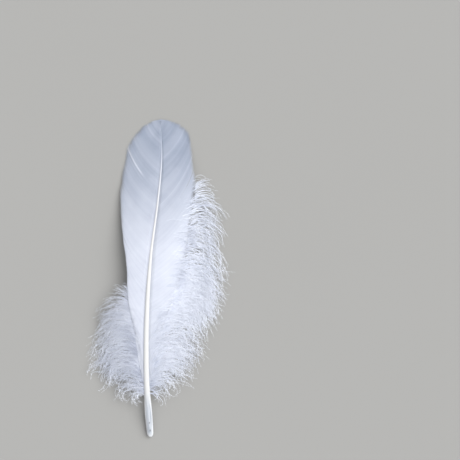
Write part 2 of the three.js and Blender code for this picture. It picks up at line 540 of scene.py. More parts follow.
@dataclass(frozen=True)
class Split:
    """A place where neighbouring barbs have come unhooked.

    Attributes:
        at: Where it is, as a share of the way from the first barb to the last.
        gap: How far the barbs part, as such a share.
        reach: How far off others are drawn along, as such a share.
        lift: How far its barbs rise.
        pale: How much lighter they are painted, a painted highlight on the lifted barbs.
        start: How close to the edge the parting keeps.
        highlight_rise: The shares of a barb between which that painted highlight sets in.
    """

    at: float
    gap: float
    reach: float
    lift: float = 0.0
    pale: float = 0.0
    start: float = 2.5
    highlight_rise: Span = (0.2, 0.5)

    def pull(self, base: Array) -> Array:
        """How far each barb at base is drawn from the split, as a share of the vane."""
        away = base - self.at
        return (self.gap * np.sign(away) * np.exp(-np.abs(away) / self.reach))[:, None]

    def near(self, base: Array) -> Array:
        """How near each barb at base is to the split, from 0 to 1."""
        return np.exp(-(((base - self.at) / self.reach) ** 2))[:, None]


@dataclass
class Vane:
    """Barbs that leave one side of the shaft and hook together into a cambered sheet.

    Attributes:
        edge: (x, y) points of the vane's edge, from the first barb's tip to the last one's.
        loose_until: The share of the barbs, from the first, whose tips are loose.
        ring_power: How evenly the rings are set, 1 for evenly.
        bow: How far barbs bow towards the tip, for a length of one.
        bow_growth: The shares of the barbs between which the bow grows.
        crowding: How much closer the barbs are towards the tip.
        root_crossing: How far the last roots reach past the shaft's middle.
        crossing: The distances from the shaft's tip between which they come to do so.
        profile: A barb's section: (share of its half width, height) round it.
        overlap: How wide a barb is, for a spacing of one.
        spacing: The least and greatest spacing that widths follow.
        point: How much narrower a barb's tip is.
        point_power: How close to the tip it narrows.
        loose_fade: Half the share of barbs over which the loose part ends.
        loose_part: The shares of a loose barb between which it gets narrower.
        lift_power: How close to the edge barbs lie unevenly high.
        ripple_pace: How far ripples run on along a barb, in radians.
        ripple_shift: How far they move from barb to barb, in radians.
        ripple_barbs: How many barbs lie between independent ripples.
        streak_barbs: How many barbs lie between independent streaks.
        streak_rise: The shares of the barbs between which streaks set in.
        rim: The shares of a barb between which the painted highlight along the vane's edge sets in.
        rest_height: Height of the middle of a barb that lies on the table.
        map_half: Half of what a barb takes up of its strip of the map.
    """

    name: str
    line: FeatherLine
    side: Side
    edge: Pairs
    loose_until: float
    seed: int
    splits: Sequence[Split] = ()
    first_root: float = 41.0
    last_root: float = 178.6
    barbs: int = 270
    rings: int = 16
    ring_power: float = 0.92
    bow: float = 0.07
    bow_growth: Span = (-0.08, 0.2)
    crowding: float = 1.35
    root_inset: float = 0.12
    least_root: float = 0.02
    root_crossing: float = 0.16
    crossing: Span = (4.0, 1.0)
    profile: Pairs = (
        (1.0, -0.02), (1.0, 0.03), (0.22, 0.01), (0.0, 0.09), (-0.22, -0.01), (-1.0, -0.07),
        (-1.0, -0.11), (0.0, -0.3),
    )
    overlap: float = 1.16
    spacing: Span = (0.05, 0.8)
    point: float = 0.96
    point_power: int = 14
    thinning: float = 0.55
    loose_fade: float = 0.04
    loose_scatter: float = 0.06
    loose_narrowing: float = 0.45
    loose_part: Span = (0.75, 1.0)
    reach_change: Change = Change(7, 0.012, 0.008)
    reach_limits: Span = (0.6, 1.03)
    lift_change: Change = Change(9, 0.07, 0.015)
    lift_power: float = 1.3
    ripple_height: float = 0.06
    ripple_pace: float = 5.0
    ripple_shift: float = 3.0
    ripple_barbs: int = 16
    tone_change: Change = Change(5, 0.22, 0.3)
    streak_barbs: int = 6
    streak_tone: float = 0.5
    streak_rise: Span = (0.3, 0.7)
    # Painted highlight: the outer end of every barb is raised in tone, so the vane's edge is painted paler.
    edge_highlight_tone: float = 0.9
    rim: Span = (0.9, 1.0)
    rest_height: float = 0.34
    rest_softness: float = 0.15
    table_gap: float = 0.02
    map_half: float = 0.4

    def root(self, s: Array) -> Array:
        """Places where barbs leave the shaft.

        Args:
            s: Shares of the way from the first barb to the last.

        Returns:
            (..., 2) places.
        """
        spread = 1 - (1 - np.clip(s, 0, 1)) ** self.crowding
        y = self.first_root + (self.last_root - self.first_root) * spread
        out = np.maximum(self.line.width(y) / 2 - self.root_inset, self.least_root)
        start, end = (self.line.shaft_tip - before for before in self.crossing)
        past = smoothstep(y, start, end)
        out = out * (1 - past) - self.root_crossing * past
        return np.stack([self.line.x(y) + self.side.value * out, y], -1)

    def plan(self, s: Array, v: Array) -> Array:
        """Places on the table under barbs.

        Args:
            s: Shares of the way from the first barb to the last.
            v: Shares of the way from the shaft to the vane's edge.

        Returns:
            (..., 2) places.
        """
        root = self.root(s)
        end = outline(self.edge)(np.clip(s, 0, 1))
        run = end - root
        bow = self.bow * smoothstep(s, *self.bow_growth)
        out = np.stack([run[..., 1], -run[..., 0]], -1) * (self.side.value * bow * 2)[..., None]
        middle = (root + end) / 2 + out
        w = v[..., None]
        return root * (1 - w) ** 2 + middle * 2 * w * (1 - w) + end * w * w

    def centres(self, s: Array, v: Array) -> Array:
        """Places on the sheet.

        Args:
            s: Shares of the way from the first barb to the last.
            v: Shares of the way from the shaft to the vane's edge.

        Returns:
            (..., 3) places.
        """
        flat = self.plan(s, v)
        height = self.line.vane_height(flat[..., 0], flat[..., 1])
        return np.concatenate([flat, height[..., None]], -1)

    def section(self) -> Array:
        """The points round a barb, in the order that turns its faces outwards."""
        return np.array(self.profile if self.side is Side.RIGHT else self.profile[::-1])

    def reaches(self, rng: np.random.Generator, loose: Array) -> Array:
        """How far towards the edge each barb reaches.

        Args:
            rng: The source of random numbers.
            loose: How loose each barb's tip is.

        Returns:
            A share for each barb.
        """
        reach = 1 + self.reach_change.draw(rng, self.barbs)
        reach = reach - loose * np.abs(rng.normal(0.0, self.loose_scatter, self.barbs))
        return np.clip(reach, *self.reach_limits)

    def lifts(self, rng: np.random.Generator, v: Array) -> Array:
        """How far barbs rise from the sheet.

        Args:
            rng: The source of random numbers.
            v: Shares of the way along each barb.

        Returns:
            A height for each of those places.
        """
        lift = self.lift_change.draw(rng, self.barbs)[:, None] * v**self.lift_power
        shift = self.ripple_shift * drift(rng, self.barbs, self.ripple_barbs, 1.0)[:, None]
        return lift + self.ripple_height * np.sin(self.ripple_pace * v + shift) * v

    def tones(self, rng: np.random.Generator, base: Array, v: Array) -> Array:
        """How light barbs are, with a painted highlight along the vane's edge.

        Args:
            rng: The source of random numbers.
            base: Each barb's share of the way from the first to the last.
            v: Shares of the way along each barb.

        Returns:
            A tone for each of those places.
        """
        tone = self.tone_change.draw(rng, self.barbs)
        streaks = drift(rng, self.barbs, self.streak_barbs, self.streak_tone)
        tone = tone + streaks * smoothstep(base, *self.streak_rise)
        # The outer end of every barb gets the painted highlight along the vane's edge.
        return tone[:, None] + self.edge_highlight_tone * smoothstep(v, *self.rim)

    def sweep(self, centre: Array, still: Array, v: Array, loose: Array) -> Array:
        """Carries the section along every barb.

        Args:
            centre: The middle of each ring.
            still: Where those would be with no barb apart, which gives the barbs' spacing.
            v: Shares of the way along each barb.
            loose: How loose each barb's tip is.

        Returns:
            (barbs, rings, points round a ring, 3) points.
        """
        tangent = unit(np.gradient(centre, axis=1))
        apart = np.gradient(still, axis=0)
        apart = apart - (apart * tangent).sum(-1, keepdims=True) * tangent
        spacing = np.linalg.norm(apart, axis=-1)
        across = apart / np.maximum(spacing, SPECK)[..., None]
        upward = np.cross(tangent, across) * self.side.value
        taper = 1 - (v / v[:, -1:]) ** self.point_power * self.point
        narrow = 1 - self.loose_narrowing * loose[:, None] * smoothstep(v, *self.loose_part)
        half = np.clip(spacing, *self.spacing) / 2 * self.overlap * taper * narrow
        thin = (1 - self.thinning * v) * taper
        section = self.section()
        points = (
            centre[:, :, None]
            + across[:, :, None] * (half[..., None] * section[:, 0])[..., None]
            + upward[:, :, None] * (thin[..., None] * section[:, 1])[..., None]
        )
        points[..., 2] = np.maximum(points[..., 2], self.table_gap)
        return points

    def build(self) -> Draft:
        """Makes every barb of the vane as a closed ridge with a thin web on each side.

        Returns:
            The draft of the piece.
        """
        rng = np.random.default_rng(self.seed)
        base = (np.arange(self.barbs) + 0.5) / self.barbs
        s = np.repeat(base[:, None], self.rings, 1)
        v = np.repeat(np.linspace(0, 1, self.rings)[None, :] ** self.ring_power, self.barbs, 0)
        still = self.centres(s, v)
        loose = smoothstep(base, self.loose_until + self.loose_fade, self.loose_until - self.loose_fade)
        v = v * self.reaches(rng, loose)[:, None]
        lift = self.lifts(rng, v)
        tone = self.tones(rng, base, v)
        for split in self.splits:
            outer = v**split.start
            s = s + split.pull(base) * outer
            lift = lift + split.lift * split.near(base) * outer
            # Painted highlight: barbs lifted at a split are painted paler.
            tone = tone + split.pale * split.near(base) * smoothstep(v, *split.highlight_rise)
        centre = self.centres(s, v)
        centre[..., 2] = soft_max(centre[..., 2] + lift, self.rest_height, self.rest_softness)
        points = self.sweep(centre, still, v, loose)
        across = 0.5 + self.map_half * self.section()[:, 0]
        strip = (np.arange(self.barbs)[:, None, None] + across) / self.barbs
        strip = np.broadcast_to(strip, points.shape[:3])
        depth = np.broadcast_to(v[..., None], points.shape[:3])
        sides = len(across)
        draft = Draft(self.name)
        draft.add(
            points.reshape(-1, 3),
            tube_triangles(self.barbs, self.rings, sides),
            np.stack([strip, np.clip(depth, 0, 1)], -1).reshape(-1, 2),
            np.repeat(tone, sides),
            depth.ravel(),
        )
        return draft


# ---------------------------------------------------------------- where loose barbs start


@dataclass
class Strands:
    """Where loose barbs start, which way they set out and how they run.

    Attributes:
        starts: (n, 2) places of their roots.
        headings: The way they set out, in radians from the feather's tip outwards.
        turns: How far they turn on the way to their own tips.
        lengths: Their lengths.
        lifts: How high above the sheet they start.
        rises: How high above it they end.
        radii: Half their thickness at the root.
        curls: How far they swing to and fro, in radians.
        waves: The length of a swing.
        fluff: The length of their barbules.
        locks: The number of the lock that each belongs to.
    """

    starts: Array
    headings: Array
    turns: Array
    lengths: Array
    lifts: Array
    rises: Array
    radii: Array
    curls: Array
    waves: Array
    fluff: Array
    locks: Array

    def with_others(self, others: "Strands") -> "Strands":
        """These strands and others, whose locks stay apart.

        Args:
            others: The other strands.

        Returns:
            All of them.
        """
        rows = {
            part.name: np.concatenate([getattr(self, part.name), getattr(others, part.name)])
            for part in fields(self)
        }
        rows["locks"][len(self.locks) :] += int(self.locks[-1]) + 1
        return Strands(**rows)


def lock_numbers(count: int, per_lock: float) -> Array:
    """The lock that each of count neighbouring strands belongs to."""
    return (np.arange(count) / per_lock).astype(int)


def clumped(rng: np.random.Generator, locks: Array, spread: Span) -> Array:
    """Random values that strands of a lock mostly share.

    Args:
        rng: The source of random numbers.
        locks: Each strand's lock.
        spread: The standard deviations from lock to lock and within a lock.

    Returns:
        A value for each strand.
    """
    together, apart = spread
    return rng.normal(0, together, int(locks[-1]) + 1)[locks] + rng.normal(0, apart, len(locks))


@dataclass(frozen=True)
class Habit:
    """The ranges in which strands differ.

    Attributes:
        radii: Half their thickness.
        curls: How far they swing, in degrees.
        waves: The length of a swing.
        fluff: The length of their barbules.
        wave_growth: The power with which the waves of wilder strands grow.
    """

    radii: Span
    curls: Span
    waves: Span
    fluff: Span
    wave_growth: float = 0.8

    def draw(
        self, rng: np.random.Generator, count: int, wildness: Array | float = 1.0, ease: Array | float = 1.0
    ) -> dict[str, Array]:
        """Draws the looks of strands.

        Args:
            rng: The source of random numbers.
            count: How many strands.
            wildness: How much more than usual each one swings.
            ease: How much of the usual barbules each one carries.

        Returns:
            The rows of Strands that they fill.
        """
        return {
            "radii": rng.uniform(*self.radii, count),
            "curls": np.radians(rng.uniform(*self.curls, count)) * wildness,
            "waves": rng.uniform(*self.waves, count) * wildness**self.wave_growth,
            "fluff": rng.uniform(*self.fluff, count) * ease,
        }


@dataclass(frozen=True)
class Strays:
    """Short curled barbs: the mean and the spread of how far they turn, and ranges for the rest."""

    count: int = 50
    headings: Span = (48.0, 98.0)
    turns: Span = (5.0, 50.0)
    lengths: Span = (5.0, 17.0)
    lifts: Span = (-0.6, 0.3)
    rises: Span = (-0.6, 2.2)
    habit: Habit = Habit(radii=(0.055, 0.085), curls=(20, 44), waves=(9, 15), fluff=(0.5, 1.1))


@dataclass
class FootDown:
    """The down that springs from the shaft at the foot of the vane, on one side.

    Attributes:
        per_lock: How many barbs share a lock.
        thickest: Where most barbs spring.
        tilt: A turn of all of them, in degrees.
        scale: The barbs' length, for a usual length of one.
        rise: The mean and the spread of how high above the sheet they end.
        headings: (y, degrees) that barbs set out at.
        turns: (y, degrees) that they turn.
        lengths: (y, length) of them.
        heading_spread: How unevenly they set out, by lock and by barb.
        wild: The stretch of quill over which barbs calm down.
        under: The stretch over which roots pass below the shaft's middle.
        over_lifts: How high roots start before it.
        under_drops: How low they start after it.
    """

    line: FeatherLine
    side: Side
    seed: int
    count: int = 300
    per_lock: float = 3.5
    strays: Strays | None = Strays()
    thickest: float = 35.0
    until: float = 70.0
    tilt: float = 0.0
    scale: float = 1.0
    rise: Span = (0.6, 0.9)
    headings: Pairs = ((24, 80), (27, 62), (31, 46), (36, 35), (41, 29), (50, 25), (70, 21))
    turns: Pairs = ((24, 14), (27, 44), (31, 76), (36, 104), (41, 120), (50, 130), (70, 132))
    lengths: Pairs = ((24, 10), (27, 17), (31, 26), (36, 33), (41, 37), (50, 37), (70, 31))
    heading_spread: Span = (8.0, 6.0)
    turn_spread: Span = (12.0, 9.0)
    length_mean: float = 0.82
    length_spread: Span = (0.12, 0.14)
    length_limits: Span = (0.3, 1.06)
    wild: Span = (38.0, 25.0)
    wildness: float = 1.2
    under: Span = (27.0, 33.0)
    over_lifts: Span = (-0.5, 0.1)
    under_drops: Span = (0.1, 0.9)
    root_inset: float = 0.1
    habit: Habit = Habit(radii=(0.055, 0.09), curls=(10, 34), waves=(7, 12), fluff=(0.8, 1.8))

    def roots(self, y: Array) -> Array:
        """(x, y) on the side of the shaft."""
        x = self.line.x(y) + self.side.value * (self.line.width(y) / 2 - self.root_inset)
        return np.stack([x, y], -1)

    def tufts(self, rng: np.random.Generator) -> Strands:
        """Barbs from the start of the down to a little above the foot of the vane.

        Args:
            rng: The source of random numbers.

        Returns:
            The barbs.
        """
        locks = lock_numbers(self.count, self.per_lock)
        y = np.sort(rng.triangular(self.line.down_start, self.thickest, self.until, self.count))
        wild = 1 + self.wildness * smoothstep(y, *self.wild)
        heading = along(self.headings)(y) + self.tilt + clumped(rng, locks, self.heading_spread) * wild
        turn = along(self.turns)(y) + clumped(rng, locks, self.turn_spread) * wild
        share = self.length_mean + clumped(rng, locks, self.length_spread)
        under = smoothstep(y, *self.under)
        over = rng.uniform(*self.over_lifts, self.count) * (1 - under)
        drop = rng.uniform(*self.under_drops, self.count) * under
        mean, spread = self.rise
        return Strands(
            starts=self.roots(y),
            headings=np.radians(heading),
            turns=np.radians(turn),
            lengths=along(self.lengths)(y) * np.clip(share, *self.length_limits) * self.scale,
            lifts=over - drop,
            rises=clumped(rng, locks, (spread, spread)) + mean,
            **self.habit.draw(rng, self.count, wildness=wild),
            locks=locks,
        )

    def stray(self, rng: np.random.Generator) -> Strands:
        """Short curled barbs that stray below and across the others.

        Args:
            rng: The source of random numbers.

        Returns:
            The barbs, each a lock of its own.
        """
        strays = self.strays
        count = strays.count
        return Strands(
            starts=self.roots(rng.uniform(self.line.down_start, self.thickest, count)),
            headings=np.radians(rng.uniform(*strays.headings, count)),
            turns=np.radians(rng.normal(*strays.turns, count)),
            lengths=rng.uniform(*strays.lengths, count),
            lifts=rng.uniform(*strays.lifts, count),
            rises=rng.uniform(*strays.rises, count),
            **strays.habit.draw(rng, count),
            locks=np.arange(count),
        )

    def strands(self) -> Strands:
        """All the barbs that spring from the shaft.

        Returns:
            The tufts, and the strays if there are any.
        """
        rng = np.random.default_rng(self.seed)
        tufts = self.tufts(rng)
        return tufts.with_others(self.stray(rng)) if self.strays else tufts


@dataclass
class EdgeDown:
    """Loose barb ends that carry on from a vane's edge, arch over and hang down.

    Attributes:
        part: The shares of the vane's barbs between which the loose ends start.
        lengths: (share of that part, length) of them.
        inset: How far in from the edge they start, for a barb of one.
        thinning: How they thin out towards the end of their part, 1 for not at all.
        lean: How far they set out from the way of the vane's barbs, in degrees.
        turn: How far they turn, in degrees.
        turn_loss: How much less the last ones turn.
        inset_length: How much longer one that starts at the shaft is.
        easy_length: The length from which they turn and branch fully.
        rise: The mean and the spread of how high above the sheet they end.
    """

    vane: Vane
    seed: int
    part: Span
    lengths: Pairs
    count: int = 300
    per_lock: float = 4.0
    inset: float = 0.2
    deepest: float = 0.85
    lift: float = 0.15
    lift_spread: Span = (-0.15, 0.2)
    thinning: float = 0.8
    lean: float = 6.0
    turn: float = 122.0
    turn_loss: float = 22.0
    heading_spread: Span = (5.0, 4.0)
    turn_spread: Span = (11.0, 7.0)
    length_mean: float = 0.8
    length_spread: Span = (0.12, 0.15)
    length_limits: Span = (0.3, 1.06)
    inset_length: float = 6.0
    easy_length: float = 16.0
    least_ease: float = 0.55
    rise: Span = (0.6, 0.75)
    habit: Habit = Habit(radii=(0.055, 0.09), curls=(4, 26), waves=(9, 14), fluff=(0.7, 1.6))

    def strands(self) -> Strands:
        """Barb ends from the foot of the vane to the end of its loose part.

        Returns:
            The barb ends.
        """
        step_in = 0.05
        rng = np.random.default_rng(self.seed)
        locks = lock_numbers(self.count, self.per_lock)
        u = 1 - np.sort(rng.random(self.count))[::-1] ** self.thinning
        s = self.part[0] + (self.part[1] - self.part[0]) * u
        v = 1 - np.minimum(np.abs(rng.normal(0, self.inset, self.count)), self.deepest)
        start = self.vane.plan(s, v)
        ahead = start - self.vane.plan(s, v - step_in)
        heading = np.arctan2(ahead[:, 0] * self.vane.side.value, ahead[:, 1])
        share = self.length_mean + clumped(rng, locks, self.length_spread)
        length = along(self.lengths)(u) * np.clip(share, *self.length_limits)
        length = length + self.inset_length * (1 - v)
        ease = np.clip(length / self.easy_length, self.least_ease, 1.0)
        lean = self.lean + clumped(rng, locks, self.heading_spread)
        turn = self.turn - self.turn_loss * u**2 + clumped(rng, locks, self.turn_spread)
        mean, spread = self.rise
        return Strands(
            starts=start,
            headings=heading + np.radians(lean),
            turns=np.radians(turn) * ease,
            lengths=length,
            lifts=self.lift + rng.uniform(*self.lift_spread, self.count),
            rises=clumped(rng, locks, (spread, spread)) + mean,
            **self.habit.draw(rng, self.count, ease=ease),
            locks=locks,
        )


# ---------------------------------------------------------------- loose barbs and down


@dataclass(frozen=True)
class Barbules:
    """The free barbules on both sides of loose barbs, each a fine closed spike.

    Attributes:
        first_at: The share of a barb at which the first can stand.
        flatness: How thick one is at its root, for a width of one.
        spread: How far it leans from the barb, in degrees.
        roll: How far it turns out of the barb's plane, in radians.
        slant: How far its own flat side is turned.
        shortest: How long those at the barb's two ends are, for a longest of one.
        swell_power: How close to the root the longest are.
        faces: The corners of a spike's faces: three at its root, then its tip.
        map_across: Where those corners are across the barb's strip of the map.
        map_along: Where they are along it.
    """

    per_mm: float = 3.1
    fewest: int = 4
    first_at: float = 0.02
    width: float = 0.06
    flatness: float = 0.8
    spread: float = 46.0
    spread_change: float = 13.0
    roll: float = 0.5
    slant: float = 0.3
    lengths: Span = (0.7, 1.4)
    shortest: float = 0.4
    swell_power: float = 0.8
    tone_change: float = 0.2
    faces: Sequence[tuple[int, int, int]] = ((0, 2, 1), (0, 1, 3), (1, 2, 3), (2, 0, 3))
    map_across: Sequence[float] = (0.05, 0.1, 0.1, 0.42)
    map_along: Sequence[float] = (0.0, 0.012, -0.012, 0.02)

    def add(
        self,
        draft: Draft,
        strands: Strands,
        lines: Array,
        tone: Array,
        lowest: float,
        rng: np.random.Generator,
    ) -> None:
        """Adds the barbules of every barb.

        Args:
            draft: Where they are added.
            strands: The barbs.
            lines: The barbs' courses.
            tone: The barbs' tones.
            lowest: The least height of a tip.
            rng: The source of random numbers.
        """
        tangent, first, second = ring_frames(lines)
        steps = lines.shape[1]
        per_barb = np.maximum((strands.lengths * self.per_mm).astype(int), self.fewest)
        barb = np.repeat(np.arange(len(lines)), per_barb)
        count = len(barb)
        share = rng.uniform(self.first_at, 1.0, count)
        at = share * (steps - 1)
        low = np.minimum(at.astype(int), steps - 2)
        part = (at - low)[:, None]

        def between(values: Array) -> Array:
            """Values between a barb's steps."""
            return values[barb, low] * (1 - part) + values[barb, low + 1] * part

        base, ahead = between(lines), unit(between(tangent))
        sideways, upward = unit(between(first)), unit(between(second))
        hand = np.where(rng.random(count) < 0.5, -1.0, 1.0)
        spread = np.radians(rng.normal(self.spread, self.spread_change, count))
        roll = rng.normal(0, self.roll, count)
        out = sideways * (hand * np.cos(roll))[:, None] + upward * np.sin(roll)[:, None]
        direction = ahead * np.cos(spread)[:, None] + out * np.sin(spread)[:, None]
        swell = self.shortest + (1 - self.shortest) * np.sin(np.pi * share**self.swell_power)
        length = strands.fluff[barb] * swell * rng.uniform(*self.lengths, count)
        tip = base + direction * length[:, None]
        tip[:, 2] = np.maximum(tip[:, 2], lowest)
        wide = unit(np.cross(direction, upward + self.slant * sideways)) * self.width / 2
        thick = unit(np.cross(direction, wide)) * self.width / 2 * self.flatness
        corners = np.stack([base + wide, base - wide, base + thick, tip], 1)
        spike = corners.shape[1]
        faces = np.array(self.faces)[None] + (np.arange(count) * spike)[:, None, None]
        strip = (barb[:, None] + 0.5 + hand[:, None] * np.array(self.map_across)) / len(lines)
        rise = share[:, None] + np.array(self.map_along)
        draft.add(
            corners.reshape(-1, 3),
            faces.reshape(-1, 3),
            np.clip(np.stack([strip, rise], -1), 0, 1).reshape(-1, 2),
            np.repeat(tone[barb] + rng.normal(0, self.tone_change, count), spike),
            np.repeat(share, spike),
        )


@dataclass
class Down:
    """One piece of loose barbs, with free barbules or with a narrow web on both sides.

    Attributes:
        sources: Where its barbs start.
        web: Half the width of a web.
        web_narrowing: How much narrower a web is at the tip.
        shade: How much darker the piece's tone is set, or lighter below zero: painted shade on the webs
            under other barbs, painted light on the webs in the wide vane's shadow, and a plain change of
            tone on other pieces.
        droop: How late barbs turn, 1 for evenly.
        gather: How far barbs are drawn to the middle of their lock.
        phase_spread: How far swings are out of step, by lock and by barb.
        stretch_spread: How uneven the swings' lengths are.
        hook: How far tips hook, for a swing of one.
        dive: How far into the shaft a barb starts.
        dive_until: The share of a barb at which it is out.
        bob_pace: How quickly barbs swing up and down, for a sideways swing of one.
        clearance: How far above it barbs come to rest.
    """

    name: str
    line: FeatherLine
    side: Side
    seed: int
    sources: Sequence[FootDown | EdgeDown]
    barbules: Barbules | None = Barbules()
    web: float = 0.0
    web_range: Span = (0.6, 1.1)
    web_narrowing: float = 0.85
    web_power: float = 1.6
    steps: int = 15
    sides: int = 3
    taper: float = 0.7
    shade: float = 0.0
    unevenness: float = 0.85
    tone_change: float = 0.45
    droop: float = 0.9
    gather: float = 0.42
    gather_power: float = 1.5
    phase_spread: Span = (3.0, 0.9)
    stretch_spread: Span = (0.25, 0.1)
    curl_power: float = 1.2
    hook_spread: Span = (0.5, 0.6)
    hook: float = 2.2
    rise_span: Span = (0.05, 0.9)
    dive: float = 0.35
    dive_until: float = 0.12
    bob: float = 0.35
    bob_pace: float = 0.8
    lowest: float = 0.06
    clearance: float = 0.25
    settle: float = 0.3
    map_span: Span = (0.25, 0.75)

    def strands(self) -> Strands:
        """The barbs of every source.

        Returns:
            The barbs.
        """
        gathered = self.sources[0].strands()
        for source in self.sources[1:]:
            gathered = gathered.with_others(source.strands())
        return gathered

    def lines(self, strands: Strands, rng: np.random.Generator) -> Array:
        """The course of every barb.

        Args:
            strands: Their starts, directions and lengths.
            rng: The source of random numbers.

        Returns:
            (count, steps, 3) points.
        """
        locks = strands.locks
        share = np.linspace(0, 1, self.steps)[None, :]
        run = strands.lengths[:, None] * share
        phase = clumped(rng, locks, self.phase_spread)[:, None]
        stretch = np.exp(clumped(rng, locks, self.stretch_spread))[:, None]
        wave = FULL_TURN * run / (strands.waves[:, None] * stretch)
        curl = strands.curls[:, None] * np.sin(wave + phase) * share**self.curl_power
        hook = clumped(rng, locks, self.hook_spread)[:, None] * strands.curls[:, None]
        heading = strands.headings[:, None] + strands.turns[:, None] * share**self.droop
        heading = heading + curl + self.hook * hook * share**2
        step = strands.lengths[:, None] / (self.steps - 1)
        steps = np.stack([np.sin(heading) * self.side.value * step, np.cos(heading) * step], -1)
        flat = strands.starts[:, None] + np.cumsum(steps, 1) - steps[:, :1]
        middle = np.stack([flat[locks == lock].mean(0) for lock in range(int(locks[-1]) + 1)])
        pull = (self.gather * share**self.gather_power)[..., None]
        flat = flat * (1 - pull) + middle[locks] * pull
        rise = strands.rises[:, None] * smoothstep(share, *self.rise_span)
        rise = strands.lifts[:, None] * (1 - share) + rise
        rise = rise - self.dive * smoothstep(share, self.dive_until, 0.0)
        bob = self.bob * np.sin(self.bob_pace * wave + 2 * phase) * share
        z = self.line.vane_height(flat[..., 0], flat[..., 1]) + rise + bob
        z = soft_max(z, self.lowest + self.clearance, self.settle)
        return np.concatenate([flat, z[..., None]], -1)

    def build(self) -> Draft:
        """Makes the barbs as fine tapered tubes, and their barbules.

        Returns:
            The draft of the piece.
        """
        strands = self.strands()
        rng = np.random.default_rng(self.seed)
        lines = self.lines(strands, rng)
        count, sides = len(lines), self.sides
        first, second = ring_frames(lines)[1:]
        share = np.linspace(0, 1, self.steps)
        radius = strands.radii[:, None] * (1 - self.taper * share**2)
        web = self.web * rng.uniform(*self.web_range, (count, self.steps))
        web = web * (1 - self.web_narrowing * share**self.web_power)
        turn = FULL_TURN * np.arange(sides) / sides
        points = (
            lines[:, :, None]
            + first[:, :, None] * ((radius + web)[..., None] * np.cos(turn))[..., None]
            + second[:, :, None] * (radius[..., None] * np.sin(turn))[..., None]
        )
        # The shade offset paints shade into webs under other barbs. Below zero, it paints light into the
        # webs in the wide vane's shadow.
        tone = clumped(rng, strands.locks, (self.unevenness, self.tone_change)) - self.shade
        strip = (np.arange(count)[:, None, None] + np.linspace(*self.map_span, sides)) / count
        strip = np.broadcast_to(strip, points.shape[:3])
        depth = np.broadcast_to(share[None, :, None], points.shape[:3])
        draft = Draft(self.name, smooth=False)
        draft.add(
            points.reshape(-1, 3),
            tube_triangles(count, self.steps, sides),
            np.stack([strip, depth], -1).reshape(-1, 2),
            np.repeat(tone, self.steps * sides),
            depth.ravel(),
        )
        if self.barbules:
            self.barbules.add(draft, strands, lines, tone, self.lowest, rng)
        return draft


# ---------------------------------------------------------------- finishes


